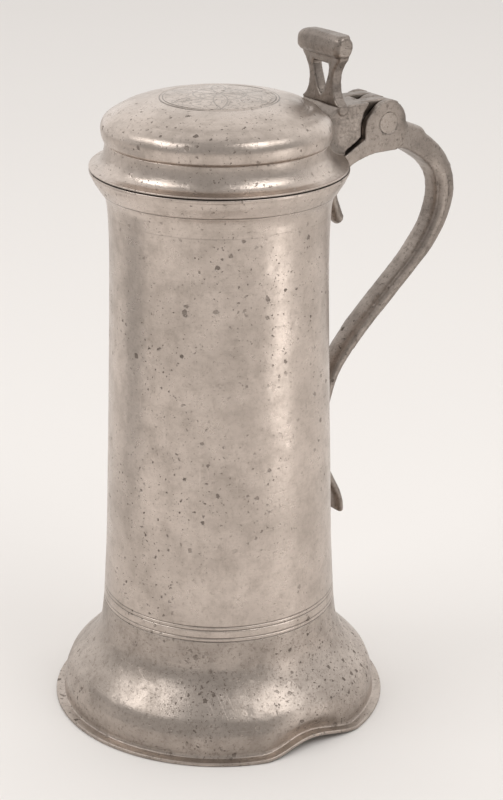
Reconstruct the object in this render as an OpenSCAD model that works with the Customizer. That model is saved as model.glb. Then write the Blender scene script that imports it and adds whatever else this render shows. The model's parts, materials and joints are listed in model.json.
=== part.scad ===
// Pewter church flagon with a bun lid, a bell foot and a pierced thumbpiece.
// Origin: centre of the foot's resting rim. +Z is up and the handle points along +X.
// The lid turns on a pin that runs along Y. All sizes are in millimetres.

/* [Foot] */
// Diameter across the foot's out-turned rim
foot_d = 152; // [140:1:190]
// Height of the foot, up to its joint with the drum
foot_h = 49.2; // [42:0.2:60]
// Height of the bell's shoulder
shoulder_h = 24; // [20:0.5:29]
// Width of the out-turned rim
foot_rim_w = 4.2; // [3:0.1:6]
// Thickness of the out-turned rim
foot_rim_t = 1.5; // [1:0.1:2.5]
// Wall thickness of the bell
foot_wall = 2; // [1.5:0.1:3]
// Thickness of the floor plate
floor_t = 2.4; // [1.5:0.1:4]

/* [Drum] */
// Height of the mouth above the table
mouth_h = 250.5; // [205:0.5:305]
// Diameter of the drum where it stands on the foot
drum_base_d = 105.9; // [104:0.1:112]
// Diameter of the drum at its neck, below the lip
neck_d = 95.8; // [92:0.1:100]
// Diameter across the lip, and across the lid's flange
lip_d = 112.2; // [110:0.2:125]
// Height of the flared lip, from the neck to the mouth
lip_flare_h = 26.5; // [20:0.5:34]
// Wall thickness of the drum
drum_wall = 2.4; // [1.8:0.1:3.5]
// Diameter of the straight seat just inside the mouth
mouth_d = 98; // [95:0.5:101]
// Depth of that straight seat
seat_h = 5.5; // [4.5:0.5:8]

/* [Lid] */
// Gap between the closed lid and the lip
lid_gap = 0.3; // [0.2:0.05:0.6]
// Height of the lid's concave flange
flange_h = 11.5; // [9:0.5:14]
// Diameter of the bun at its widest
bun_d = 100.4; // [99:0.2:106]
// Height of the bun above the flange
bun_h = 19.7; // [15:0.1:25]
// How far the turned line between flange and bun is cut in
crease = 1.7; // [1:0.1:2.5]
// Wall thickness of the lid
lid_wall = 2.2; // [1.6:0.1:3]
// Height of the ring that drops into the mouth
bezel_h = 4; // [3:0.5:4.5]
// Thickness of that ring
bezel_t = 2.2; // [1.5:0.1:3]
// Clearance between that ring and the mouth's seat
bezel_clear = 1.1; // [0.9:0.1:2]

/* [Hinge] */
// Distance from the lip's edge out to the pin
pin_reach = 24; // [23:0.5:30]
// Height of the pin above the mouth
pin_rise = 11.4; // [11:0.2:15]
// Diameter of the hinge pin
pin_d = 4.8; // [4:0.1:5.8]
// Radial running clearance of the lid's leaves on the pin
pin_clear = 0.05; // [0.02:0.01:0.1]
// Width of the whole hinge
hinge_w = 26; // [24:0.5:32]
// Width of each outer leaf of the handle
ear_w = 3.2; // [3:0.1:4]
// Width of the handle's middle leaf
mid_leaf_w = 6; // [5:0.5:8]
// Side clearance between neighbouring leaves
leaf_gap = 0.3; // [0.2:0.05:0.6]
// Diameter of the hinge barrel
barrel_d = 20.6; // [19:0.2:22]
// Diameter of the round plugs over the pin's ends
plug_d = 9.4; // [7.4:0.2:12]
// Thickness of those plugs
plug_t = 2; // [1.5:0.1:2.4]

/* [Thumbpiece] */
// Height of the thumbpiece above the hinge barrel
thumb_h = 31.2; // [27:0.2:38]
// Length of its cross bar
bar_l = 31.4; // [28:0.2:36]
// Height of its cross bar
bar_h = 9.4; // [8:0.2:12]
// Depth of its cross bar
bar_depth = 8.8; // [7:0.2:10]
// How far the cross bar stands out in front of the stems
bar_front = 2.4; // [1:0.2:3.4]
// Depth of its two stems
stem_depth = 4.6; // [3.5:0.1:6]
// Width across the stems at their waist
waist_w = 17.6; // [15:0.2:21]

/* [Handle] */
// How far the handle stands out past the lip's edge
handle_reach = 69.8; // [62:0.2:84]
// Width of the handle's strap
strap_w = 12.2; // [10:0.2:16]
// Thickness of the strap at the outer bend
bend_t = 11; // [9:0.2:13]
// Thickness of the strap where it meets the drum
low_t = 6.4; // [5:0.2:8]
// Height of the outer bend below the mouth
bend_drop = 26.5; // [24:0.5:30]
// Height of the strap's lower joint below the mouth
joint_drop = 138.5; // [110:0.5:150]
// Width of the tongue under the lip
spur_w = 10; // [8:0.5:12]

/* [Hidden] */
$fn = 128;
curve_n = 8;
solder_gap = 0.05;
pewter = [0.72, 0.69, 0.65];
dark_pewter = [0.6, 0.57, 0.53];
iron = [0.45, 0.43, 0.42];

foot_r = foot_d / 2;
base_r = drum_base_d / 2;
neck_r = neck_d / 2;
lip_r = lip_d / 2;
mouth_r = mouth_d / 2;
neck_in_r = base_r - foot_wall;
floor_z = foot_h - 6.2;
ledge_w = 1;
ledge_h = 1.4;
lid_z = mouth_h + lid_gap;
flange_top = lid_z + flange_h;
bun_r = bun_d / 2;
crease_r = bun_r - crease;
lid_top = flange_top + bun_h;
pin_x = lip_r + pin_reach;
pin_z = mouth_h + pin_rise;
barrel_r = barrel_d / 2;
barrel_top = pin_z + barrel_r;
ear_y = hinge_w / 2 - ear_w;
slot_r = barrel_r + 0.6;
leaf_out = ear_y - leaf_gap;
leaf_in = mid_leaf_w / 2 + leaf_gap;
lug_back_x = pin_x - barrel_r - 4.5;
ear_front_x = lug_back_x + 2.5;
thumb_x = pin_x - 28;
bend_x = lip_r + handle_reach - bend_t / 2;
bend_z = mouth_h - bend_drop;
joint_z = mouth_h - joint_drop;

// Points on a curve with one control point (quadratic) or two (cubic)
function curve3(a, b, c) = [for (i = [0:curve_n]) let (t = i / curve_n)
    (1 - t) * (1 - t) * a + 2 * t * (1 - t) * b + t * t * c];
function cubic(p, t) = (1 - t) * (1 - t) * (1 - t) * p[0] + 3 * t * (1 - t) * (1 - t) * p[1]
    + 3 * t * t * (1 - t) * p[2] + t * t * t * p[3];
function slope(p, t) = 3 * (1 - t) * (1 - t) * (p[1] - p[0]) + 6 * t * (1 - t) * (p[2] - p[1])
    + 3 * t * t * (p[3] - p[2]);
function unit(v) = v / norm(v);
function reversed(list) = [for (i = [len(list) - 1:-1:0]) list[i]];
// The same line moved sideways by d, towards the axis where the line runs upwards
function inset(p, d) = [for (i = [0:len(p) - 1])
    let (run = unit(p[min(i + 1, len(p) - 1)] - p[max(i - 1, 0)])) p[i] + d * [-run[1], run[0]]];
function arc(c, r, from, to) = [for (i = [0:curve_n]) let (a = from + (to - from) * i / curve_n)
    c + r * [cos(a), sin(a)]];

// A side outline, drawn in X and Z, given a width along Y
module slab(width) {
    rotate([90, 0, 0]) linear_extrude(height = width, center = true) children();
}
module pin_bore(r) {
    translate([pin_x, 0, pin_z]) rotate([90, 0, 0]) cylinder(r = r, h = 2 * hinge_w, center = true);
}

// Foot: a hollow bell on a thin out-turned rim
rim_root_r = foot_r - foot_rim_w;
shoulder_r = base_r + 9.7;
bell = concat(
    curve3([rim_root_r, foot_rim_t + 1.7], [rim_root_r - 0.6, 8], [rim_root_r - 1, 11]),
    curve3([rim_root_r - 1, 11], [rim_root_r - 2, shoulder_h - 4.5], [shoulder_r, shoulder_h]),
    curve3([shoulder_r, shoulder_h], [base_r + 1.6, shoulder_h + 5.5], [base_r + 0.6, foot_h - 6.2]));
bell_in = [for (p = inset(bell, foot_wall)) if (p[1] > foot_rim_t + 1 && p[1] < floor_z - 8) p];

module foot() {
    color(pewter) rotate_extrude() polygon(concat(
        [[rim_root_r - foot_wall, 0], [foot_r, 0], [foot_r, foot_rim_t]],
        bell,
        [[base_r, foot_h], [neck_in_r, foot_h], [neck_in_r, floor_z]],
        [[neck_in_r - ledge_w, floor_z], [neck_in_r - ledge_w, floor_z - ledge_h]],
        reversed(bell_in)));
}

// Floor: a disc on the foot's inner ledge, with a shallow raised middle
module floor_plate() {
    color(pewter) translate([0, 0, floor_z]) rotate_extrude() polygon([
        [0, 0.8], [30, 0.8], [36, 0], [neck_in_r - solder_gap, 0],
        [neck_in_r - solder_gap, floor_t], [36, floor_t], [30, floor_t + 0.8], [0, floor_t + 0.8]]);
}

// Drum: a tapered tube with a flared lip
neck_z = mouth_h - lip_flare_h;
waist_z = foot_h + (neck_z - foot_h) * 0.3;
drum_side = concat(
    curve3([base_r, foot_h], [base_r - 1.4, foot_h + 17], [neck_r + 2.8, waist_z]),
    curve3([neck_r + 2.8, waist_z], [neck_r + 0.7, (waist_z + neck_z) / 2 + 8], [neck_r, neck_z]),
    curve3([neck_r, neck_z], [neck_r + 0.4, mouth_h - 10.5], [lip_r - 0.7, mouth_h - 2.3]),
    [[lip_r, mouth_h - 1.4], [lip_r, mouth_h - 0.3], [lip_r - 0.3, mouth_h]]);
module drum_outside() {
    rotate_extrude() polygon(concat([[0, foot_h]], drum_side, [[0, mouth_h]]));
}
module drum() {
    flare_in = curve3([neck_r - drum_wall, neck_z + 2], [neck_r - drum_wall, mouth_h - 12],
                      [mouth_r, mouth_h - seat_h]);
    color(pewter) rotate_extrude() polygon(concat(
        drum_side,
        [[mouth_r, mouth_h]],
        reversed(flare_in),
        [[neck_r + 2.8 - drum_wall, waist_z], [base_r - drum_wall, foot_h]]));
}

// Lid: a concave flange, the bun on top of it and the ring below it
flange_side = concat(
    [[lip_r, lid_z], [lip_r, lid_z + 0.6]],
    curve3([lip_r - 0.4, lid_z + 0.8], [crease_r, lid_z + 1.2], [crease_r, flange_top]));
bun_side = concat(
    curve3([crease_r, flange_top], [bun_r, flange_top + 0.7], [bun_r, flange_top + 5.2]),
    curve3([bun_r, flange_top + 5.2], [bun_r, lid_top - 10.1], [bun_r - 6.2, lid_top - 7.1]),
    curve3([bun_r - 6.2, lid_top - 7.1], [bun_r - 20.9, lid_top], [0, lid_top]));
bezel_r = mouth_r - bezel_clear;

module lid_outside() {
    rotate_extrude() polygon(concat([[0, lid_z]], flange_side, bun_side));
}
module lid_flange() {
    color(pewter) rotate_extrude() polygon(concat(
        flange_side,
        [[crease_r - lid_wall, flange_top], [crease_r - lid_wall, lid_z + 4.5]],
        [[bezel_r - bezel_t, lid_z + 3.3], [bezel_r - bezel_t, lid_z]]));
}
module lid_bun() {
    inside = [for (p = inset(bun_side, lid_wall)) if (p[0] > 1 && p[1] > flange_top + 1.5) p];
    color(pewter) rotate_extrude() polygon(concat(
        bun_side,
        [[0, lid_top - lid_wall]],
        reversed(inside),
        [[crease_r - lid_wall, flange_top]]));
}
module lid_bezel() {
    color(pewter) rotate_extrude() polygon([
        [bezel_r - bezel_t, lid_z - bezel_h], [bezel_r - 0.5, lid_z - bezel_h],
        [bezel_r, lid_z - bezel_h + 0.8], [bezel_r, lid_z], [bezel_r - bezel_t, lid_z]]);
}

// Lug: a wedge soldered to the lid's side, with the lid's two hinge leaves
lug_corner_z = pin_z - 4.7;

// Round bar across the lug's top corner, under the thumbpiece
module base_roll() {
    translate([thumb_x + 2.8, 0, barrel_top - 1.3]) rotate([90, 0, 0])
        cylinder(r = 2.5, h = hinge_w + 2, center = true);
}
module lid_lug() {
    color(dark_pewter) difference() {
        union() {
            slab(hinge_w) polygon([
                [lip_r - 12, lid_z + 0.5], [lip_r - 0.2, lid_z + 0.5], [lug_back_x, lug_corner_z],
                [lug_back_x, pin_z + 2], [lug_back_x + 1.4, pin_z + 6.2], [lug_back_x + 4.3, barrel_top],
                [thumb_x, barrel_top], [thumb_x - 2.8, barrel_top - 5.2], [lip_r - 12, barrel_top - 8]]);
            for (side = [-1, 1])
                translate([0, side * (leaf_in + leaf_out) / 2, 0]) slab(leaf_out - leaf_in) polygon(concat(
                    [[lug_back_x - 1, lug_corner_z], [lug_back_x, lug_corner_z]],
                    arc([pin_x, pin_z], barrel_r, 215, 450),
                    [[lug_back_x - 1, barrel_top]]));
            base_roll();
        }
        lid_outside();
        pin_bore(pin_d / 2 + pin_clear);
    }
}

// Thumbpiece: two stems that part from a point, under a thick cross bar
module thumbpiece() {
    stem_h = thumb_h - bar_h;
    waist = waist_w / 2;
    stems = concat(
        [[-waist - 4.4, 0]],
        curve3([-waist - 1.8, 3.2], [-waist + 0.8, 8], [-waist, stem_h - 9]),
        [[-waist - 2.6, stem_h - 4.4], [-bar_l / 2 + 0.6, stem_h], [-bar_l / 2 + 0.6, stem_h + 1],
         [bar_l / 2 - 0.6, stem_h + 1], [bar_l / 2 - 0.6, stem_h], [waist + 2.6, stem_h - 4.4]],
        curve3([waist, stem_h - 9], [waist - 0.8, 8], [waist + 1.8, 3.2]),
        [[waist + 4.4, 0]]);
    half_window = concat([[0, 2.4]], curve3([3.4, stem_h - 14], [6, stem_h - 9], [6.2, stem_h - 5.6]),
                         [[5.2, stem_h - 3.6]]);
    window = concat(half_window, [for (p = reversed(half_window)) if (p[0] > 0) [-p[0], p[1]]]);
    bar = concat(
        [[1.2, 0], [0, 1.4], [0, bar_h - 2.4], [1.2, bar_h - 0.8], [bar_depth / 2, bar_h]],
        curve3([bar_depth - 1.8, bar_h - 1], [bar_depth, bar_h - 2], [bar_depth, bar_h / 2]),
        [[bar_depth - 1.6, 1.2], [bar_depth - 3.4, 0]]);
    color(dark_pewter) difference() {
        translate([thumb_x, 0, barrel_top]) union() {
            rotate([90, 0, 90]) linear_extrude(height = stem_depth) difference() {
                polygon(stems);
                polygon(window);
            }
            translate([-bar_front, 0, stem_h]) slab(bar_l) polygon(bar);
        }
        base_roll();
    }
}

// Handle: hinge leaves, a strap in a long S, a tail that kicks out, and a tongue under the lip
top_bend = [[pin_x + 11.8, pin_z - 7.9], [pin_x + 26.8, pin_z - 15.3], [bend_x, bend_z + 15.5],
            [bend_x, bend_z]];
low_x = base_r + 0.1;
fall = bend_z - joint_z;
mid_x = bend_x - 16.2;
mid_z = bend_z - fall * 0.28;
near_x = low_x + 5.5;
near_z = joint_z + fall * 0.277;
strap_parts = [
    [top_bend, 10.4, bend_t],
    [[[bend_x, bend_z], [bend_x, bend_z - 12], [mid_x + 8, mid_z + 8.4], [mid_x, mid_z]],
     bend_t, bend_t * 0.71],
    [[[mid_x, mid_z], [mid_x - 11.5, mid_z - 12.1], [near_x + 7.5, near_z + 17], [near_x, near_z]],
     bend_t * 0.71, low_t],
    [[[near_x, near_z], [near_x - 4.5, near_z - 10.2], [low_x, joint_z + 10], [low_x, joint_z]],
     low_t, low_t],
    [[[low_x, joint_z], [low_x, joint_z - 14], [low_x + 8, joint_z - 20],
      [low_x + 11.4, joint_z - 31]], low_t, 4.4],
    [[[low_x + 11.4, joint_z - 31], [low_x + 11.8, joint_z - 33], [low_x + 11.9, joint_z - 35],
      [low_x + 11.9, joint_z - 37.5]], 4.4, 4.2]];
function strap_edge(side) = [for (part = strap_parts, i = [0:curve_n - 1]) let (
    t = i / curve_n, run = unit(slope(part[0], t)), half = (part[1] + (part[2] - part[1]) * t) / 2)
    cubic(part[0], t) + side * half * [-run[1], run[0]]];

// The hinge end, from the lip to the start of the strap
module head_outline() {
    polygon(concat(
        [[lip_r - 9, mouth_h - 10], [lip_r - 2, mouth_h - 10]],
        curve3([lip_r - 2, mouth_h - 10], [lip_r + 7, mouth_h - 1.2], [pin_x - 3, pin_z - 12.6]),
        [[pin_x + 7, pin_z - 12.4], [pin_x + 9.5, pin_z - 12.8]],
        [for (t = [0.15, 0.3, 0.45, 0.6]) let (run = unit(slope(top_bend, t)))
            cubic(top_bend, t) + 5.2 * [run[1], -run[0]]],
        [for (t = [0.6, 0.45, 0.3]) let (run = unit(slope(top_bend, t)))
            cubic(top_bend, t) - 5.2 * [run[1], -run[0]]],
        [[pin_x + 25.8, pin_z - 9.4], [pin_x + 23.6, pin_z - 6.2], [pin_x + barrel_r, pin_z - 0.8]],
        arc([pin_x, pin_z], barrel_r, 0, 127),
        [[ear_front_x + 0.9, pin_z + 3], [ear_front_x, pin_z - 0.6], [ear_front_x, pin_z - 6]],
        [[lip_r + 0.5, mouth_h - 1], [lip_r - 9, mouth_h - 1]]));
}
// Seen from above: full width at the hinge, drawn in to the strap's width at the bend
module head_plan() {
    w = hinge_w / 2;
    s = strap_w / 2;
    x0 = pin_x + 9;
    x1 = pin_x + 33;
    near_side = curve3([x0, -w], [x0 + 13, -s - 1], [x1, -s]);
    polygon(concat([[lip_r - 15, -w]], near_side, [[bend_x + 20, -s], [bend_x + 20, s]],
        [for (p = reversed(near_side)) [p[0], -p[1]]], [[lip_r - 15, w]]));
}
module leaf_slot() {
    polygon(concat(
        [[lug_back_x - 3, lug_corner_z - 0.9], [pin_x - 6, lug_corner_z - 4]],
        arc([pin_x, pin_z], slot_r, 235, 350),
        [[pin_x + slot_r + 1, pin_z + 20], [lug_back_x - 3, pin_z + 20]]));
}
module handle() {
    plug_seat = plug_d / 2 + solder_gap;
    color(dark_pewter) difference() {
        union() {
            intersection() {
                slab(hinge_w) head_outline();
                translate([0, 0, mouth_h - 40]) linear_extrude(height = 80) head_plan();
            }
            slab(strap_w) polygon(concat(
                strap_edge(1), reversed(strap_edge(-1))));
            slab(spur_w) polygon([
                [lip_r - 6, mouth_h - 6], [lip_r + 5, mouth_h - 6], [lip_r + 3.4, mouth_h - 12],
                [lip_r + 4.4, mouth_h - 22], [lip_r + 7.9, mouth_h - 32], [lip_r + 7.8, mouth_h - 34.4],
                [lip_r + 6, mouth_h - 35.4], [lip_r + 3.8, mouth_h - 34], [lip_r + 0.6, mouth_h - 23],
                [lip_r - 0.6, mouth_h - 12]]);
        }
        drum_outside();
        for (side = [-1, 1])
            translate([0, side * (ear_y + mid_leaf_w / 2) / 2, 0])
                slab(ear_y - mid_leaf_w / 2) leaf_slot();
        pin_bore(pin_d / 2);
        for (side = [-1, 1])
            translate([pin_x, side * (hinge_w / 2 - plug_t / 2 + 1), pin_z]) rotate([90, 0, 0])
                cylinder(r = plug_seat, h = plug_t + 2, center = true);
    }
}

module hinge_pin() {
    color(iron) translate([pin_x, 0, pin_z]) rotate([90, 0, 0])
        cylinder(d = pin_d, h = hinge_w - 2 * plug_t, center = true);
}
module pin_plug(side) {
    color(dark_pewter) translate([pin_x, side * (hinge_w - plug_t) / 2, pin_z]) rotate([90, 0, 0])
        cylinder(d = plug_d, h = plug_t, center = true);
}

drum();
foot();
floor_plate();
handle();
hinge_pin();
pin_plug(-1);  // pin_plug_near
pin_plug(1);  // pin_plug_far
lid_flange();
lid_bun();
lid_bezel();
lid_lug();
thumbpiece();
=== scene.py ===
import json
import math
import random

import bmesh
import bpy
from mathutils import Matrix, Vector, kdtree, noise
from mathutils.geometry import tessellate_polygon


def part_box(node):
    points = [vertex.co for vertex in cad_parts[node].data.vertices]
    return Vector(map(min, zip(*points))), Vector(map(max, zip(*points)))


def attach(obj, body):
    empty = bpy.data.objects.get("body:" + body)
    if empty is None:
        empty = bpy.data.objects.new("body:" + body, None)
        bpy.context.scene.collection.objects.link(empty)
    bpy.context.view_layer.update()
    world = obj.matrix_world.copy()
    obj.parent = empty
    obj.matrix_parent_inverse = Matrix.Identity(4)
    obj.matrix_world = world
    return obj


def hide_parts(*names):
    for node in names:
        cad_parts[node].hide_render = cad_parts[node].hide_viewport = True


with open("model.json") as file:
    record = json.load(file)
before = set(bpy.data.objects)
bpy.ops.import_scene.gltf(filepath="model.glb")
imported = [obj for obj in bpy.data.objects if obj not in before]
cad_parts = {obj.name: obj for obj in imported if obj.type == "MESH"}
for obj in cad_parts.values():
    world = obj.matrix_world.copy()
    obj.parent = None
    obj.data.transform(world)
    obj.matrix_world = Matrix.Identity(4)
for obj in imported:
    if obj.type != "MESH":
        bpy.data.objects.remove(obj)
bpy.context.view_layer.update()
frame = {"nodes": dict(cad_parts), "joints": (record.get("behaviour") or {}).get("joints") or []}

MM = 0.001
# Without a seed, noise vectors differ from one run to the next
noise.seed_set(7)

# Sizes read from the frame, in millimetres
foot_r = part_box("foot")[1].x / MM
foot_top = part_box("foot")[1].z / MM
lip_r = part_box("drum")[1].x / MM
mouth_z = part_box("drum")[1].z / MM
lid_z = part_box("lid_flange")[0].z / MM
flange_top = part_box("lid_flange")[1].z / MM
lid_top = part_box("lid_bun")[1].z / MM
thumb_low, thumb_high = (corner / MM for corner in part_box("thumbpiece"))
pin_x, _, pin_z = (value / MM for value in frame["joints"][0]["pos_m"])
handle_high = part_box("handle")[1] / MM

# Marks and joints that both the shapes and the materials use, in millimetres
CROWN_RING_R, CROWN_RING_GAP = 25.6, 1.4
BASE_LINES = (56, 54.3, 50.65, 49.05)
LIP_LINE = 241
LEAF_JOINTS = (3.15, 9.65)


# ---------------------------------------------------------------- mesh tools
def through(points, parts=8):
    """A smooth line through given (radius, height) points."""
    points = [Vector(p) for p in points]
    ends = [2 * points[0] - points[1]] + points + [2 * points[-1] - points[-2]]
    line = []
    for a, b, c, d in zip(ends, ends[1:], ends[2:], ends[3:]):
        for k in range(parts):
            t = k / parts
            line.append(0.5 * (2 * b + (c - a) * t + (2 * a - 5 * b + 4 * c - d) * t * t
                               + (3 * b - a - 3 * c + d) * t * t * t))
    return line + [points[-1]]


def rounded(corners, parts=4):
    """Corners given as (radius, height, fillet), each turned into a small arc."""
    line = []
    count = len(corners)
    for k, (r, z, fillet) in enumerate(corners):
        here = Vector((r, z))
        before = Vector(corners[k - 1][:2]) - here
        after = Vector(corners[(k + 1) % count][:2]) - here
        if fillet == 0 or k in (0, count - 1):
            line.append(here)
            continue
        reach = min(fillet, before.length * 0.45, after.length * 0.45)
        start, end = here + before.normalized() * reach, here + after.normalized() * reach
        for i in range(parts + 1):
            t = i / parts
            line.append((1 - t) ** 2 * start + 2 * t * (1 - t) * here + t * t * end)
    return line


def refined(line, step, near=(), fine=0.3):
    """The same line with no gap over step, and none over fine close to the heights in near."""
    out = [line[0]]
    for a, b in zip(line, line[1:]):
        close = any(min(a.y, b.y) - 1.5 < h < max(a.y, b.y) + 1.5 for h in near)
        parts = max(1, math.ceil((b - a).length / (fine if close else step)))
        out += [a.lerp(b, (k + 1) / parts) for k in range(parts)]
    return out


def finish_mesh(name, verts, faces, material, body, slot, *nodes):
    """A smooth-shaded piece that stands for CAD nodes and rides on their body."""
    mesh = bpy.data.meshes.new(name)
    mesh.from_pydata(verts, [], faces)
    work = bmesh.new()
    work.from_mesh(mesh)
    bmesh.ops.remove_doubles(work, verts=work.verts, dist=1e-7)
    bmesh.ops.recalc_face_normals(work, faces=work.faces)
    work.to_mesh(mesh)
    work.free()
    mesh.shade_smooth()
    mesh.materials.append(material)
    piece = bpy.data.objects.new(name, mesh)
    bpy.context.scene.collection.objects.link(piece)
    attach(piece, body)
    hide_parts(*nodes)
    return piece


def lathe(outline, warp, turns=320):
    """Vertices and faces of a turned piece. Points on the axis become single poles."""
    verts, rings, faces = [], [], []
    for r, z in outline:
        if r < 1e-4:
            rings.append([len(verts)] * turns)
            verts.append(Vector((0, 0, z)) * MM)
            continue
        rings.append(list(range(len(verts), len(verts) + turns)))
        verts += [warp(r, math.tau * k / turns, z) * MM for k in range(turns)]
    has_poles = outline[0][0] < 1e-4
    pairs = list(zip(rings, rings[1:])) + ([] if has_poles else [(rings[-1], rings[0])])
    for low, high in pairs:
        for k in range(turns):
            j = (k + 1) % turns
            corners = [low[k], low[j], high[j], high[k]]
            unique = list(dict.fromkeys(corners))
            if len(unique) > 2:
                faces.append(unique)
    return verts, faces


def bell_curve(distance, width):
    return math.exp(-(distance / width) ** 2)


def turned_warp(dings, wobble=0.22, scale=0.012):
    """Moves a point of a turned piece: hand-made wobble, and dings as (angle, height, size, depth)."""
    def warp(r, angle, z):
        x, y = r * math.cos(angle), r * math.sin(angle)
        r += wobble * noise.noise(Vector((x * scale, y * scale, z * scale)))
        for ding_angle, height, size, depth in dings:
            if abs(z - height) > 3 * size:
                continue
            turn = (angle - ding_angle + math.pi) % math.tau - math.pi
            r -= depth * bell_curve(math.hypot(turn * r, z - height), size)
        return Vector((r * math.cos(angle), r * math.sin(angle), z))
    return warp


# Hollows are either broad dings or small pits, given by their ranges of size and depth
DINGS = ((1.5, 5), (0.05, 0.3))
PITS = ((0.8, 1.4), (0.12, 0.28))


def scattered(kind, seed, count, low, high):
    """Hollows at random places between two heights, as (angle, height, size, depth)."""
    draw = random.Random(seed)
    sizes, depths = kind
    return [(draw.uniform(0, math.tau), draw.uniform(low, high), draw.uniform(*sizes), draw.uniform(*depths))
            for _ in range(count)]


# ---------------------------------------------------------------- materials
def add(tree, kind, inputs=None, **settings):
    """A shader node, with its settings and its inputs given as values or as another node's output."""
    made = tree.nodes.new(kind)
    for key, value in settings.items():
        setattr(made, key, value)
    for key, value in (inputs or {}).items():
        if isinstance(value, bpy.types.NodeSocket):
            tree.links.new(value, made.inputs[key])
        else:
            made.inputs[key].default_value = value
    return made


def mapped(tree, value, low, high, out_low, out_high):
    made = add(tree, "ShaderNodeMapRange", {"Value": value, "From Min": low, "From Max": high,
                                            "To Min": out_low, "To Max": out_high})
    return made.outputs["Result"]


def blended(tree, share, first, second, mode="MIX"):
    made = add(tree, "ShaderNodeMix", {"Factor": share}, data_type="RGBA", blend_type=mode)
    for socket, value in ((made.inputs[6], first), (made.inputs[7], second)):
        if isinstance(value, bpy.types.NodeSocket):
            tree.links.new(value, socket)
        else:
            socket.default_value = (*value, 1)
    return made.outputs[2]


def computed(tree, operation, *values):
    return add(tree, "ShaderNodeMath", dict(enumerate(values)), operation=operation).outputs[0]


def times(tree, first, second):
    return computed(tree, "MULTIPLY", first, second)


def maximum(tree, first, second):
    return computed(tree, "MAXIMUM", first, second)


def near_value(tree, value, centre, width):
    """1 where value is at centre, fading to 0 at width away."""
    gap = computed(tree, "ABSOLUTE", computed(tree, "ADD", value, -centre))
    return mapped(tree, gap, width * 0.3, width, 1, 0)


def distance_from(tree, x, y, centre_x=0, centre_y=0):
    """Distance in plan from an upright line."""
    squares = []
    for value, centre in ((x, centre_x), (y, centre_y)):
        step = computed(tree, "ADD", value, -centre)
        squares.append(times(tree, step, step))
    return computed(tree, "SQRT", computed(tree, "ADD", *squares))


def rosette(tree, x, y, radius):
    """Six petals and worn scrolls, inside the crown's rings."""
    petal_r = CROWN_RING_R * 0.88 * MM
    petals = near_value(tree, radius, petal_r / 2, 0.5 * MM)
    for k in range(6):
        turn = math.tau * k / 6
        reach = distance_from(tree, x, y, petal_r * math.cos(turn), petal_r * math.sin(turn))
        petals = maximum(tree, petals, near_value(tree, reach, petal_r, 0.5 * MM))
    place = add(tree, "ShaderNodeTexCoord").outputs["Object"]
    worn = add(tree, "ShaderNodeTexNoise", {"Vector": place, "Scale": 190, "Detail": 2, "Distortion": 1.2})
    scrolls = times(tree, near_value(tree, worn.outputs["Fac"], 0.5, 0.035), 0.9)
    inside = mapped(tree, radius, (CROWN_RING_R - 2.2) * MM, (CROWN_RING_R - 1.8) * MM, 0.7, 0)
    return times(tree, maximum(tree, petals, scrolls), inside)


def engraving(tree, x, y, z):
    """Turned lines on the drum, painted shade in the gap under the lid and in a notch, and two rings and a
    rosette on the crown.
    """
    lines = near_value(tree, z, LIP_LINE * MM, 0.3 * MM)
    for height in BASE_LINES:
        lines = maximum(tree, lines, near_value(tree, z, height * MM, 0.3 * MM))
    # A notch in the flange's edge, given as a bump, with painted shade inside it
    nick_x, nick_y, nick_width = -52.4 * MM, -19 * MM, 0.6 * MM
    notch_shade = near_value(tree, distance_from(tree, x, y, nick_x, nick_y), 0, nick_width)
    notch_shade = times(tree, notch_shade, mapped(tree, z, (lid_z + 2) * MM, (lid_z + 2.6) * MM, 1, 0))
    notch_shade = times(tree, notch_shade, mapped(tree, z, (mouth_z - 1) * MM, mouth_z * MM, 0, 1))
    radius = distance_from(tree, x, y)
    # Painted shade: the lip's top and the lid's underside, facing each other across the gap, are painted
    # dark
    gap_shade = near_value(tree, z, (mouth_z + 0.15) * MM, 0.55 * MM)
    gap_shade = times(tree, gap_shade, mapped(tree, radius, (lip_r - 1.2) * MM, (lip_r - 0.5) * MM, 0, 1))
    rings = maximum(tree, near_value(tree, radius, CROWN_RING_R * MM, 0.4 * MM),
                    near_value(tree, radius, (CROWN_RING_R - CROWN_RING_GAP) * MM, 0.32 * MM))
    # The crown falls away by about 3 r * r, in metres, and adding that back tells its two faces apart
    level = computed(tree, "ADD", z, times(tree, times(tree, radius, radius), 3.0))
    crown = mapped(tree, level, (lid_top - 1.5) * MM, (lid_top - 0.9) * MM, 0, 0.75)
    marks = maximum(tree, times(tree, lines, 0.7), maximum(tree, gap_shade, notch_shade))
    return maximum(tree, marks, times(tree, maximum(tree, rings, rosette(tree, x, y, radius)), crown))


def leaf_gaps(tree, x, y, z):
    """Dirt in the joints between the hinge's five leaves."""
    side = computed(tree, "ABSOLUTE", y)
    lines = maximum(tree, *(near_value(tree, side, joint * MM, 0.6 * MM) for joint in LEAF_JOINTS))
    on_barrel = mapped(tree, x, (pin_x - 14) * MM, (pin_x - 11) * MM, 0, 1)
    on_barrel = times(tree, on_barrel, mapped(tree, x, (pin_x + 10) * MM, (pin_x + 11) * MM, 1, 0))
    upper_half = mapped(tree, z, (pin_z + 2) * MM, (pin_z + 5) * MM, 0, 1)
    return times(tree, times(tree, lines, on_barrel), upper_half)


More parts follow.
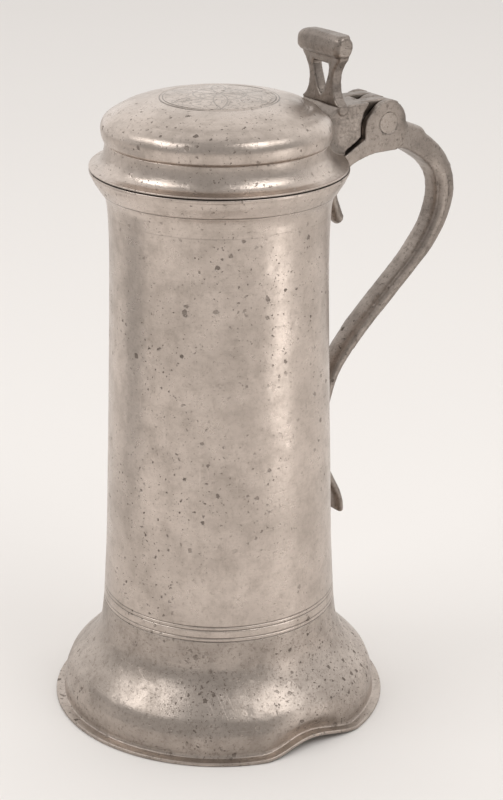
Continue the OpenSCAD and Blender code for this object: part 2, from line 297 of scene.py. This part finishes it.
def pewter(name, dark, light, stain_and_shade, rough, turning, pit_share, grain, marks):
    """Old pewter: mottled patina, turning lines, stray scratches, corrosion pits, bright worn edges, and
    hollows darkened partly as painted shade.

    rough is the range of roughness, turning the strength of the turned lines, pit_share the share of
    cells that have a pit (from 1 up, all of them), grain the depth of the fine relief in metres, and
    marks the function that draws the dark cuts, which on the turned pieces hold painted shade too.
    """
    material = bpy.data.materials.new(name)
    material.use_nodes = True
    tree = material.node_tree
    shader = tree.nodes["Principled BSDF"]
    place = add(tree, "ShaderNodeTexCoord").outputs["Object"]
    axes = add(tree, "ShaderNodeSeparateXYZ", {"Vector": place}).outputs

    def noisy(scale, detail=4, stretch=None, turn=(0, 0, 0), roughness=0.6):
        vector = place
        if stretch:
            way = {"Vector": place, "Scale": stretch, "Rotation": turn}
            vector = add(tree, "ShaderNodeMapping", way).outputs[0]
        made = add(tree, "ShaderNodeTexNoise", {"Vector": vector, "Scale": scale, "Detail": detail,
                                                "Roughness": roughness})
        return made.outputs["Fac"]

    mottle = noisy(26, 5)
    cloud = noisy(85, 6, roughness=0.72)
    speck = noisy(620, 4, roughness=0.75)
    lines = noisy(1, 3, (7, 7, 1500))
    slant_a = noisy(1, 2, (60, 60, 1900), (0.5, 0.25, 0.4))
    slant_b = noisy(1, 2, (1700, 50, 50), (0.3, 0.7, 0.2))
    scratches = maximum(tree, mapped(tree, slant_a, 0.64, 0.72, 0, 0.8),
                        mapped(tree, slant_b, 0.66, 0.73, 0, 0.8))

    # Ragged-edged pits at four scales: each cell has its own size, down to none
    shake = add(tree, "ShaderNodeTexNoise", {"Vector": place, "Scale": 700, "Detail": 3}).outputs["Color"]
    centred = add(tree, "ShaderNodeVectorMath", {0: shake, 1: (0.5, 0.5, 0.5)}, operation="SUBTRACT")
    shift = add(tree, "ShaderNodeVectorMath", {0: centred.outputs[0], "Scale": 0.0022}, operation="SCALE")
    ragged = add(tree, "ShaderNodeVectorMath", {0: place, 1: shift.outputs[0]}, operation="ADD").outputs[0]
    crowd = mapped(tree, noisy(17, 3), 0.42, 0.57, 0.15, 1)
    pits = None
    for scale in (190, 330, 540, 900):
        cells = add(tree, "ShaderNodeTexVoronoi", {"Vector": ragged, "Scale": scale, "Randomness": 1})
        chance = add(tree, "ShaderNodeSeparateColor", {"Color": cells.outputs["Color"]}).outputs[0]
        reach = mapped(tree, chance, 1 - pit_share, 1, 0, 0.24)
        depth = computed(tree, "SUBTRACT", reach, cells.outputs["Distance"])
        spots = times(tree, mapped(tree, depth, -0.01, 0.05, 0, 1), crowd)
        pits = spots if pits is None else maximum(tree, pits, spots)

    edge = add(tree, "ShaderNodeNewGeometry").outputs["Pointiness"]
    cuts_and_shade = marks(tree, axes[0], axes[1], axes[2])
    colour = blended(tree, mapped(tree, mottle, 0.32, 0.68, 0.1, 0.9), dark, light)
    colour = blended(tree, mapped(tree, cloud, 0.46, 0.72, 0, 0.6), colour, stain_and_shade)
    colour = blended(tree, mapped(tree, lines, 0.35, 0.7, 0, 0.2), colour, dark)
    colour = blended(tree, mapped(tree, edge, 0.52, 0.58, 0, 0.5), colour, light)
    # Darker in hollows and creases: partly painted shade, partly the oxide that gathers there
    colour = blended(tree, mapped(tree, edge, 0.46, 0.4, 0, 0.5), colour, stain_and_shade)
    # The coarser the grain, the more speckled
    speckle = min(0.7, grain * 2500)
    colour = blended(tree, mapped(tree, speck, 0.54, 0.66, 0, speckle), colour, stain_and_shade)
    colour = blended(tree, times(tree, scratches, 0.4), colour, light)
    colour = blended(tree, times(tree, pits, 0.7), colour, (0.13, 0.108, 0.09))
    # Dark cuts, and on the turned pieces painted shade in the lid's gap and in a notch
    colour = blended(tree, times(tree, cuts_and_shade, 0.8), colour, (0.06, 0.05, 0.04))
    tree.links.new(colour, shader.inputs["Base Color"])

    gloss = mapped(tree, cloud, 0.35, 0.7, rough[0], rough[1])
    tree.links.new(computed(tree, "ADD", gloss, times(tree, pits, 0.3)), shader.inputs["Roughness"])

    normal = None
    reliefs = ((speck, 0.25, grain), (lines, turning, 0.00005), (cloud, 0.35, 0.0007),
               (scratches, -0.35, 0.00008), (pits, -0.9, 0.0005), (cuts_and_shade, -0.6, 0.0003))
    for height, strength, depth in reliefs:
        bump = {"Height": height, "Strength": abs(strength), "Distance": depth}
        if normal is not None:
            bump["Normal"] = normal
        normal = add(tree, "ShaderNodeBump", bump, invert=strength < 0).outputs[0]
    tree.links.new(normal, shader.inputs["Normal"])
    shader.inputs["Metallic"].default_value = 1
    return material


turned = pewter("turned_pewter", (0.47, 0.408, 0.362), (0.665, 0.58, 0.52), (0.32, 0.272, 0.234),
                rough=(0.26, 0.38), turning=0.45, pit_share=0.55, grain=0.00014, marks=engraving)
pitted = pewter("pitted_pewter", (0.38, 0.33, 0.292), (0.56, 0.488, 0.436), (0.25, 0.212, 0.182),
                rough=(0.32, 0.46), turning=0.45, pit_share=1.2, grain=0.0003, marks=engraving)
cast = pewter("cast_pewter", (0.24, 0.206, 0.182), (0.43, 0.374, 0.333), (0.14, 0.119, 0.102),
              rough=(0.36, 0.5), turning=0.1, pit_share=0.4, grain=0.0004, marks=leaf_gaps)
iron = pewter("dark_iron", (0.1, 0.09, 0.08), (0.2, 0.18, 0.16), (0.06, 0.04, 0.03),
              rough=(0.5, 0.7), turning=0.1, pit_share=0.4, grain=0.0004, marks=leaf_gaps)


# ---------------------------------------------------------------- turned pieces
def drum_piece():
    """The tapered drum with its flared lip, incised line pairs and straight seat."""
    base_r, wall, mouth_r = 52.95, 2.4, 49
    outside = through([(base_r, foot_top), (51.3, 80), (50.1, 120), (49, 160), (48.05, 200), (47.95, 220),
                       (48.9, 236), (52, 242), (54.5, 246), (lip_r - 0.5, 248.6)])
    lip = rounded([(lip_r - 0.5, 248.6, 0), (lip_r, 249.2, 0.4), (lip_r, mouth_z, 0.5),
                   (mouth_r, mouth_z, 0.5), (mouth_r, mouth_z - 5.5, 0)])
    inside = through([(mouth_r, mouth_z - 5.5), (46.6, 238), (45.5, 226), (46.6, 180), (48.6, 110),
                      (base_r - wall, foot_top)])
    # Depths of the grooves, by height; the lowest base line is on the foot
    grooves = dict.fromkeys(BASE_LINES[:3], 0.2) | {LIP_LINE: 0.12, 232: 0.1}
    line = refined(outside + lip[1:-1] + inside, 1.3, grooves)
    warp = turned_warp(scattered(DINGS, 11, 34, 62, 228) + scattered(PITS, 12, 150, 62, 245))

    def scored(r, angle, z):
        outer_face = 49 if z < 215 else 46.8
        if r > outer_face:
            r -= sum(depth * bell_curve(z - height, 0.3) for height, depth in grooves.items())
        return warp(r, angle, z)
    return finish_mesh("drum_shell", *lathe(line, scored), turned, "vessel", "pewter", "drum")


def foot_piece():
    """The bell foot on its thin rim, whose front edge is bent in and up."""
    bell = through([(foot_r - 4.3, 3.2), (71.4, 10), (70.2, 14), (68.3, 18), (64.6, 22), (60.6, 26),
                    (57.5, 30), (55.4, 34), (54.3, 38), (53.6, 43), (52.95, foot_top)])
    under = through([(50.95, foot_top), (50.95, 43.1), (49.95, 42.9), (49.95, 41.6), (52.2, 36), (55.6, 30),
                     (62.5, 22), (67.2, 15), (69.2, 8), (69.8, 1)])
    rim = rounded([(69.8, 0, 0), (foot_r, 0, 0.3), (foot_r, 1.5, 0.5), (foot_r - 3.9, 1.8, 0.5),
                   (foot_r - 4.3, 3.2, 0)])
    warp = turned_warp(scattered(DINGS, 23, 30, 6, 40) + scattered(PITS, 24, 120, 4, 44), 0.3)
    dent_angle, dent_half, push_in, push_up = math.radians(-86), 0.36, 5.2, 3.4

    def dented(r, angle, z):
        point = warp(r, angle, z)
        rim_share = min(1, max(0, (r - 66) / 6)) * bell_curve(max(0, z - 2), 9)
        turn = (angle - dent_angle + math.pi) % math.tau - math.pi
        if abs(turn) < dent_half:
            share = rim_share * (0.5 + 0.5 * math.cos(math.pi * turn / dent_half)) ** 0.8
            point -= Vector((math.cos(angle), math.sin(angle), 0)) * push_in * share
            point.z += push_up * share
        return point
    line = refined(rim[:-1] + bell + under, 1.8, (24.5, 3))
    return finish_mesh("foot_bell", *lathe(line, dented), pitted, "vessel", "pewter", "foot")


# The lid's outer side, as far up as the crease and then over the bun
CREASE_R = 48.5
FLANGE_SIDE = through([(lip_r - 0.9, lid_z + 0.9), (54.2, lid_z + 1.2), (52.4, lid_z + 1.9),
                       (50.7, lid_z + 3.4), (49.4, lid_z + 6), (48.7, lid_z + 9), (CREASE_R, flange_top)])
BUN_SIDE = through([(CREASE_R, flange_top), (49.5, flange_top + 1.3), (50.2, flange_top + 4.2),
                    (50.1, flange_top + 6.7), (49, flange_top + 9.2), (47, flange_top + 11), (44, 274.9),
                    (40, 277), (32, 279.3), (20, 281), (8, 281.9), (0, lid_top)])
# Flats knocked into the lid beside the hinge, as (angle, height, size, depth)
HINGE_DENTS = [(math.radians(-20), 272.5, 10, 2.4), (math.radians(-34), 263, 12, 1.1)]
# The bun was set a little off the flange's centre
BUN_SHIFT = Vector((-0.5, 0.33, 0))


def lid_radius(z):
    """Radius of the lid's outer side at a height."""
    for a, b in zip(FLANGE_SIDE + BUN_SIDE, FLANGE_SIDE[1:] + BUN_SIDE):
        if a.y <= z <= b.y and b.y > a.y:
            return a.x + (b.x - a.x) * (z - a.y) / (b.y - a.y)
    return lip_r if z < lid_z + 0.9 else 0


def flange_piece():
    """The lid's concave flange, with a thin bright edge."""
    edge = rounded([(43.5, lid_z, 0), (lip_r, lid_z, 0.3), (lip_r, lid_z + 0.8, 0.4),
                    (lip_r - 0.9, lid_z + 0.9, 0)])
    inside = [Vector(p) for p in ((46.3, flange_top), (46.3, lid_z + 4.5), (45.7, lid_z + 3.3))]
    warp = turned_warp(scattered(DINGS, 31, 10, lid_z + 2, flange_top) + HINGE_DENTS[1:], 0.12)

    def set_over(r, angle, z):
        share = min(1, max(0, (z - lid_z - 2) / 5))
        return warp(r, angle, z) + BUN_SHIFT * share
    line = refined(edge[:-1] + FLANGE_SIDE + inside, 1.2, (lid_z + 1,))
    return finish_mesh("flange_ring", *lathe(line, set_over), turned, "lid", "pewter", "lid_flange")


def bun_piece():
    """The bun with two engraved rings round its crown."""
    inside = through([(0, lid_top - 2.2), (20, 278.8), (32, 277), (42, 273.6), (46.6, flange_top + 8.4),
                      (47.9, flange_top + 4.2), (46.3, flange_top)])
    rings = {CROWN_RING_R: 0.25, CROWN_RING_R - CROWN_RING_GAP: 0.2, 39: 0.08}
    warp = turned_warp(scattered(DINGS, 47, 26, flange_top + 2, lid_top) + HINGE_DENTS, 0.15)

    def engraved(r, angle, z):
        point = warp(r, angle, z)
        if z > 273:
            point.z -= sum(depth * bell_curve(r - ring, 0.28) for ring, depth in rings.items())
        return point + BUN_SHIFT
    # The outline runs from the crown's pole out to the crease, and comes back inside to a second pole
    crown = []
    for a, b in zip(BUN_SIDE[:0:-1], BUN_SIDE[-2::-1]):
        engraved_part = 22 < b.x < 41 and b.y > 273
        parts = max(1, math.ceil((b - a).length / (0.3 if engraved_part else 1.4)))
        crown += [a.lerp(b, k / parts) for k in range(parts)]
    profile = crown + [BUN_SIDE[0]] + refined(inside[::-1], 2)[1:]
    return finish_mesh("bun_cap", *lathe(profile, engraved), turned, "lid", "pewter", "lid_bun")


# ---------------------------------------------------------------- cast pieces
def remeshed(mesh, voxel, rounds, grow):
    """A fine copy of a mesh with its edges softened, then pushed out again by what the softening took."""
    copy = bpy.data.objects.new("fine_copy", mesh)
    bpy.context.scene.collection.objects.link(copy)
    weld = copy.modifiers.new("weld", "WELD")
    weld.merge_threshold = 1e-6
    voxels = copy.modifiers.new("voxels", "REMESH")
    voxels.mode = "VOXEL"
    voxels.voxel_size = voxel * MM
    soft = copy.modifiers.new("soft", "SMOOTH")
    soft.factor = 0.5
    soft.iterations = rounds
    bpy.context.view_layer.update()
    fine = bpy.data.meshes.new_from_object(copy.evaluated_get(bpy.context.evaluated_depsgraph_get()))
    points = [(v.co + v.normal * grow * MM) / MM for v in fine.vertices]
    faces = [tuple(p.vertices) for p in fine.polygons]
    bpy.data.objects.remove(copy)
    bpy.data.meshes.remove(fine)
    return points, faces


def relaxed(points, faces, chosen, rounds):
    """Smooths only the points that chosen() picks, to blend one shape into the next."""
    mesh = bpy.data.meshes.new("relaxing")
    mesh.from_pydata(points, [], faces)
    work = bmesh.new()
    work.from_mesh(mesh)
    picked = [v for v in work.verts if chosen(v.co)]
    for _ in range(rounds):
        bmesh.ops.smooth_vert(work, verts=picked, factor=0.5,
                              use_axis_x=True, use_axis_y=True, use_axis_z=True)
    moved = [v.co.copy() for v in work.verts]
    work.free()
    bpy.data.meshes.remove(mesh)
    return moved


def prism(loops, start, depth, place):
    """A closed solid from an outline and its holes; place() turns (u, v, depth) into a point."""
    flat = [Vector((u, v, 0)) for loop in loops for u, v in loop]
    count = len(flat)
    verts = [place(p.x, p.y, d) for d in (start, start + depth) for p in flat]
    caps = tessellate_polygon([[Vector((u, v, 0)) for u, v in loop] for loop in loops])
    faces = [tuple(t) for t in caps] + [tuple(i + count for i in reversed(t)) for t in caps]
    first = 0
    for loop in loops:
        for k in range(len(loop)):
            a, b = first + k, first + (k + 1) % len(loop)
            faces.append((a, b, b + count, a + count))
        first += len(loop)
    return verts, faces


def joined(name, solids):
    """One mesh, in metres, from several closed solids given in millimetres."""
    work = bmesh.new()
    for verts, faces in solids:
        made = [work.verts.new(Vector(v) * MM) for v in verts]
        for face in faces:
            work.faces.new([made[i] for i in face])
    bmesh.ops.recalc_face_normals(work, faces=work.faces)
    mesh = bpy.data.meshes.new(name)
    work.to_mesh(mesh)
    work.free()
    return mesh


def cast_skin(point, coarse=0.22, fine=0.07):
    """The uneven skin of a sand casting, as a small shift of a point."""
    shift = noise.noise_vector(point * 0.09) * coarse + noise.noise_vector(point * 0.45) * fine
    return point + shift


def bezier(p, t):
    return (1 - t) ** 3 * p[0] + 3 * t * (1 - t) ** 2 * p[1] + 3 * t * t * (1 - t) * p[2] + t ** 3 * p[3]


def strap_line():
    """The handle's centreline as (point, direction, half thickness), from the hinge down to the tail."""
    bend_t, low_t, tail_t = 11, 6.4, 4.4
    bend_x, bend_z = handle_high.x - bend_t / 2, mouth_z - 26.5
    joint_z, low_x = mouth_z - 138.5, 53.05
    fall = bend_z - joint_z
    mid = (bend_x - 16.2, bend_z - fall * 0.28)
    near = (low_x + 5.5, joint_z + fall * 0.277)
    parts = [
        ([(pin_x + 11.8, pin_z - 7.9), (pin_x + 26.8, pin_z - 15.3), (bend_x, bend_z + 15.5),
          (bend_x, bend_z)], 10.4, bend_t),
        ([(bend_x, bend_z), (bend_x, bend_z - 12), (mid[0] + 8, mid[1] + 8.4), mid], bend_t, bend_t * 0.71),
        ([mid, (mid[0] - 11.5, mid[1] - 12.1), (near[0] + 7.5, near[1] + 17), near], bend_t * 0.71, low_t),
        ([near, (near[0] - 4.5, near[1] - 10.2), (low_x, joint_z + 10), (low_x, joint_z)], low_t, low_t),
        ([(low_x, joint_z), (low_x, joint_z - 14), (low_x + 8, joint_z - 20), (low_x + 11.4, joint_z - 31)],
         low_t, tail_t),
        ([(low_x + 11.4, joint_z - 31), (low_x + 11.8, joint_z - 33), (low_x + 11.9, joint_z - 35),
          (low_x + 11.9, joint_z - 37.5)], tail_t, 4.2)]
    stations = []
    for points, thick_a, thick_b in parts:
        points = [Vector(p) for p in points]
        for k in range(40):
            t = k / 40
            here, ahead = bezier(points, t), bezier(points, t + 0.02)
            stations.append((here, (ahead - here).normalized(), (thick_a + (thick_b - thick_a) * t) / 2))
    return stations


def gap_groove(point):
    """Opens the joint between two hinge leaves a little where it meets the barrel's surface."""
    out = Vector((point.x - pin_x, 0, point.z - pin_z))
    if out.length < 8.5 or out.x > 9 or point.z < pin_z + 2 or out.x < -13:
        return point
    closeness = sum(bell_curve(abs(point.y) - joint, 0.5) for joint in LEAF_JOINTS)
    return point - out.normalized() * 1.1 * closeness


def teardrop(point):
    """Rounds the tongue under the lip, narrow at its root and full at its tip."""
    if not (lip_r - 4 < point.x < lip_r + 13 and mouth_z - 37 < point.z < mouth_z - 9.5):
        return point
    t = min(1, (mouth_z - 9.5 - point.z) / 25)
    middle = lip_r + 1.4 + 0.6 * t + 4.2 * t ** 3
    a, c = point.y / 5, (point.x - middle) / 2
    size = max(abs(a), abs(c), 1e-6)
    shrink = 1 + (1.05 * size / math.hypot(a, c) - 1) * min(1, t * 5) if size > 0.3 else 1
    width = 1 - (0.34 - 0.26 * t) * min(1, t * 5)
    lift = 2.4 * min(1, a * a) * max(0, t - 0.8) / 0.2
    return Vector((middle + (point.x - middle) * shrink, point.y * shrink * width, point.z + lift))


def handle_piece():
    """The cast handle: square hinge leaves that turn into a strap with well-rounded corners."""
    points, faces = remeshed(frame["nodes"]["handle"].data.copy(), 0.5, 5, 0.2)
    stations = strap_line()
    half_width, roundness, fullness, inward = 6.1, 2.6, 1.08, 0.78
    tree = kdtree.KDTree(len(stations))
    for k, (here, _, _) in enumerate(stations):
        tree.insert((here.x, 0, here.y), k)
    tree.balance()
    shaped = []
    for point in points:
        _, k, _ = tree.find((point.x, 0, point.z))
        here, run, half = stations[k]
        across = Vector((-run.y, run.x))
        side = (Vector((point.x, point.z)) - here).dot(across)
        a, c = point.y / half_width, side / half
        size = max(abs(a), abs(c))
        # The rounding fades in below the hinge, and leaves the tongue under the lip to teardrop()
        on_strap = min(1, max(0, (k - 14) / 20)) * (0.3 < size < 1.7)
        if point.z > mouth_z - 40 and point.x < lip_r + 14:
            on_strap = 0
        if on_strap:
            shrink = fullness * size / (abs(a) ** roundness + abs(c) ** roundness) ** (1 / roundness)
            shrink = 1 + (shrink - 1) * on_strap
            outward = Vector((across.x, 0, across.y))
            point = Vector((point.x, point.y * shrink, point.z)) + outward * side * (shrink - 1)
            if c * outward.x > 0:
                point -= outward * inward * on_strap * (1 if outward.x > 0 else -1)
            else:
                # Faint ribs left on the inner face by the mould
                point += outward * 0.03 * math.sin(k * 2.1) * on_strap
        shaped.append(teardrop(gap_groove(point)))

    def at_a_root(p):
        behind_hinge = p.x > pin_x + 5 and p.z > mouth_z - 14
        near_drum = p.x < lip_r + 14 and p.z < mouth_z - 14
        return behind_hinge or near_drum
    shaped = relaxed(shaped, faces, at_a_root, 30)
    return finish_mesh("handle_cast", [cast_skin(p) * MM for p in shaped], faces, cast,
                       "vessel", "cast_pewter", "handle")


def soldered(point):
    """Spreads the lug's foot into a fillet of solder, and lets it down into the lid's flats."""
    radius, angle = math.hypot(point.x, point.y), math.atan2(point.y, point.x)
    gap = radius - lid_radius(point.z)
    if gap > 6:
        return point
    near = min(1, max(0, 1 - gap / 4))
    sunk = sum(depth * bell_curve(math.hypot((angle - turn) * radius, point.z - height), size)
               for turn, height, size, depth in HINGE_DENTS)
    radius -= near * (sunk + 0.35)
    spread = 4.2 * min(1, (6 - gap) / 6) ** 2 * min(1, max(0, (abs(point.y) - 9) / 3.5))
    spread *= min(1, max(0.3, (269 - point.z) / 8))
    angle += math.copysign(spread / radius, point.y)
    return Vector((radius * math.cos(angle), radius * math.sin(angle), point.z))


def hammered(point):
    """Shallow hammer marks on the lug's two sides."""
    if abs(point.y) < 11 or point.x > pin_x - 15:
        return point
    mark = noise.noise(Vector((point.x * 0.5, 7, point.z * 0.5)))
    return point - Vector((0, math.copysign(0.35 * abs(mark), point.y), 0))


def lug_piece():
    """The lid's hinge lug, softened as a casting."""
    points, faces = remeshed(frame["nodes"]["lid_lug"].data.copy(), 0.42, 6, 0.15)
    points = [soldered(hammered(gap_groove(p))) for p in points]
    return finish_mesh("lug_cast", [cast_skin(p, 0.22, 0.09) * MM for p in points], faces, cast,
                       "lid", "cast_pewter", "lid_lug")


def mirrored(half):
    """A closed outline from its right half, listed upwards from the bottom."""
    return half + [(-u, v) for u, v in reversed(half) if u > 0]


def thumb_piece():
    """The thumbpiece: two stems that part from a point and flow up into a thick cross bar."""
    front_x, top = thumb_low.x + 2.4, thumb_high.z - thumb_low.z
    half_bar = thumb_high.y
    plate = mirrored([(13.9, 0.2), (11, 2.8), (9.3, 6), (8.7, 9.5), (8.8, 12.5), (9.8, 15.2), (11.6, 18),
                      (13.8, 20.4), (half_bar - 0.3, 22.6), (half_bar, 25), (half_bar, top - 1),
                      (half_bar - 1, top)])
    window = mirrored([(0, 3.4), (2.2, 5.8), (4, 9.5), (5.6, 13.5), (6.2, 16.4), (5.6, 18.2)])
    bar = [(-1.2, 21.8), (-2.3, 23.4), (-2.6, 26), (-2.2, top - 1.8), (-0.8, top - 0.5), (1.6, top),
           (4.2, top - 0.8), (6, top - 3), (6.2, top - 5.4), (5.2, 22.9), (3.8, 21.4)]
    bar_middle = Vector((front_x + 1.8, 0, thumb_low.z + top - 4.8))
    stems = prism([plate, window], 0, 4.6, lambda u, v, d: (front_x + d, u, thumb_low.z + v))
    beam = prism([bar], -half_bar, 2 * half_bar, lambda u, v, d: (front_x + u, d, thumb_low.z + v))
    points, faces = remeshed(joined("thumb_blank", [stems, beam]), 0.38, 8, 0.3)
    shaped = []
    for point in points:
        # The bar droops a little towards its +Y end, and both ends taper
        up = max(0, (point.z - thumb_low.z) / top - 0.6) / 0.4
        along = max(0, point.y / half_bar)
        point = point - Vector((0, 0, (0.7 * along + 0.8 * max(0, along - 0.7) / 0.3) * up))
        end = max(0, (abs(point.y) - half_bar + 3) / 3)
        if point.z > thumb_low.z + 20.5 and end > 0:
            shrink = 1 - 0.2 * min(1, end) ** 2
            middle = Vector((bar_middle.x, point.y, bar_middle.z))
            point = middle + (point - middle) * shrink
        point = cast_skin(point, 0.2, 0.08)
        point.z = min(point.z, thumb_high.z - 0.05)
        shaped.append(point * MM)
    return finish_mesh("thumb_cast", shaped, faces, cast, "lid", "cast_pewter", "thumbpiece")


# ---------------------------------------------------------------- stage, lights and camera
VIEW_ANGLE = math.radians(33)
VIEW_PITCH = math.radians(20.81)
VIEW_ROLL = math.radians(-0.40)
VIEW_DISTANCE, VIEW_HEIGHT, VIEW_SIDE = 0.8903, 0.4814, 0.01447


def plain_material(name, colour, rough):
    """Pale studio paper with the faintest mottling."""
    material = bpy.data.materials.new(name)
    material.use_nodes = True
    tree = material.node_tree
    shader = tree.nodes["Principled BSDF"]
    place = add(tree, "ShaderNodeTexCoord").outputs["Object"]
    grain = add(tree, "ShaderNodeTexNoise", {"Vector": place, "Scale": 3, "Detail": 3}).outputs["Fac"]
    darker = tuple(c * 0.985 for c in colour)
    tree.links.new(blended(tree, grain, colour, darker), shader.inputs["Base Color"])
    shader.inputs["Roughness"].default_value = rough
    return material


def floor_piece():
    bpy.ops.mesh.primitive_plane_add(size=14, location=(0, 0, -0.0002))
    floor = bpy.context.object
    floor.name = "floor"
    floor.data.materials.append(plain_material("paper", (0.8, 0.775, 0.755), 0.9))


def aimed(position, target):
    away = (Vector(position) - Vector(target)).to_track_quat("Z", "Y").to_matrix().to_4x4()
    return Matrix.Translation(position) @ away


def heading(side_angle):
    """Model angle of a direction given in degrees to the right of the camera's side of the object."""
    return math.radians(side_angle) - math.pi / 2 - VIEW_ANGLE


def card(name, side_angle, distance, width, height, glow):
    """An upright card on the floor beside the object, dark or bright, that only its gloss can see."""
    turn = heading(side_angle)
    arm, along = Vector((math.cos(turn), math.sin(turn), 0)), Vector((-math.sin(turn), math.cos(turn), 0))
    corners = [arm * distance + along * width * u + Vector((0, 0, height * v))
               for u, v in ((-0.5, 0), (0.5, 0), (0.5, 1), (-0.5, 1))]
    mesh = bpy.data.meshes.new(name)
    mesh.from_pydata(corners, [], [(0, 1, 2, 3)])
    material = bpy.data.materials.new(name)
    material.use_nodes = True
    shader = material.node_tree.nodes["Principled BSDF"]
    shader.inputs["Base Color"].default_value = (0.02, 0.02, 0.02, 1)
    shader.inputs["Emission Color"].default_value = (1, 0.97, 0.94, 1)
    shader.inputs["Emission Strength"].default_value = glow
    mesh.materials.append(material)
    piece = bpy.data.objects.new(name, mesh)
    for ray in ("camera", "diffuse", "shadow", "transmission", "volume_scatter"):
        setattr(piece, "visible_" + ray, False)
    bpy.context.scene.collection.objects.link(piece)


def softbox(name, side_angle, lift, distance, width, height, power, seen_in_gloss=True):
    """A soft light at a heading and a lift in degrees, which gloss mirrors unless told not to."""
    data = bpy.data.lights.new(name, "AREA")
    data.shape = "RECTANGLE"
    data.size, data.size_y, data.energy, data.color = width, height, power, (1, 0.99, 0.975)
    turn = heading(side_angle)
    rise = math.radians(lift)
    target = Vector((0.01, 0, 0.14))
    arm = Vector((math.cos(turn) * math.cos(rise), math.sin(turn) * math.cos(rise), math.sin(rise)))
    light = bpy.data.objects.new(name, data)
    light.matrix_world = aimed(target + arm * distance, target)
    light.visible_glossy = seen_in_gloss
    bpy.context.scene.collection.objects.link(light)


def studio():
    """Two soft lights and one overhead, a bright sweep behind, a dimmer front, and cards at the sides."""
    softbox("softbox_left", -69, 42, 1.4, 0.85, 0.55, 4.6)
    softbox("softbox_right", 57, 50, 1.4, 0.75, 0.65, 4.6)
    softbox("softbox_top", 178, 74, 2.5, 3.6, 3.6, 21, seen_in_gloss=False)
    card("dark_card", -92, 0.34, 0.16, 0.17, 0.48)
    card("bright_card", 63, 0.42, 0.13, 0.24, 2.1)
    world = bpy.data.worlds.new("studio")
    world.use_nodes = True
    tree = world.node_tree
    direction = add(tree, "ShaderNodeTexCoord").outputs["Generated"]
    ahead = (math.sin(VIEW_ANGLE), math.cos(VIEW_ANGLE), 0)
    facing = add(tree, "ShaderNodeVectorMath", {0: direction, 1: ahead}, operation="DOT_PRODUCT")
    sky = tree.nodes["Background"]
    sky.inputs["Color"].default_value = (0.95, 0.93, 0.91, 1)
    tree.links.new(mapped(tree, facing.outputs["Value"], -0.2, 0.5, 0.49, 1.15), sky.inputs["Strength"])
    bpy.context.scene.world = world
    # A plain tone curve keeps the pale paper near white
    bpy.context.scene.view_settings.view_transform = "Standard"


def camera():
    """A long lens that looks down on the front, with the handle to the right."""
    c, s = math.cos(VIEW_ANGLE), math.sin(VIEW_ANGLE)
    right = Vector((c, -s, 0))
    ahead = Vector((s, c, 0))
    up = Vector((0, 0, 1))
    position = right * VIEW_SIDE - ahead * VIEW_DISTANCE + up * VIEW_HEIGHT
    forward = ahead * math.cos(VIEW_PITCH) - up * math.sin(VIEW_PITCH)
    lift = ahead * math.sin(VIEW_PITCH) + up * math.cos(VIEW_PITCH)
    axis_x = right * math.cos(VIEW_ROLL) - lift * math.sin(VIEW_ROLL)
    axis_y = right * math.sin(VIEW_ROLL) + lift * math.cos(VIEW_ROLL)
    data = bpy.data.cameras.new("camera")
    data.lens, data.sensor_width, data.clip_start, data.clip_end = 95.84, 36, 0.01, 50
    made = bpy.data.objects.new("camera", data)
    turn = Matrix((axis_x, axis_y, -forward)).transposed().to_4x4()
    made.matrix_world = Matrix.Translation(position) @ turn
    bpy.context.scene.collection.objects.link(made)
    bpy.context.scene.camera = made


def dress(node, material):
    """A better material on a CAD node that stays as it is."""
    data = frame["nodes"][node].data
    data.materials.clear()
    data.materials.append(material)


camera()
studio()
floor_piece()
drum_piece()
foot_piece()
flange_piece()
bun_piece()
handle_piece()
lug_piece()
thumb_piece()
for node in ("floor_plate", "lid_bezel"):
    dress(node, turned)
for node in ("pin_plug_near", "pin_plug_far"):
    dress(node, cast)
dress("hinge_pin", iron)
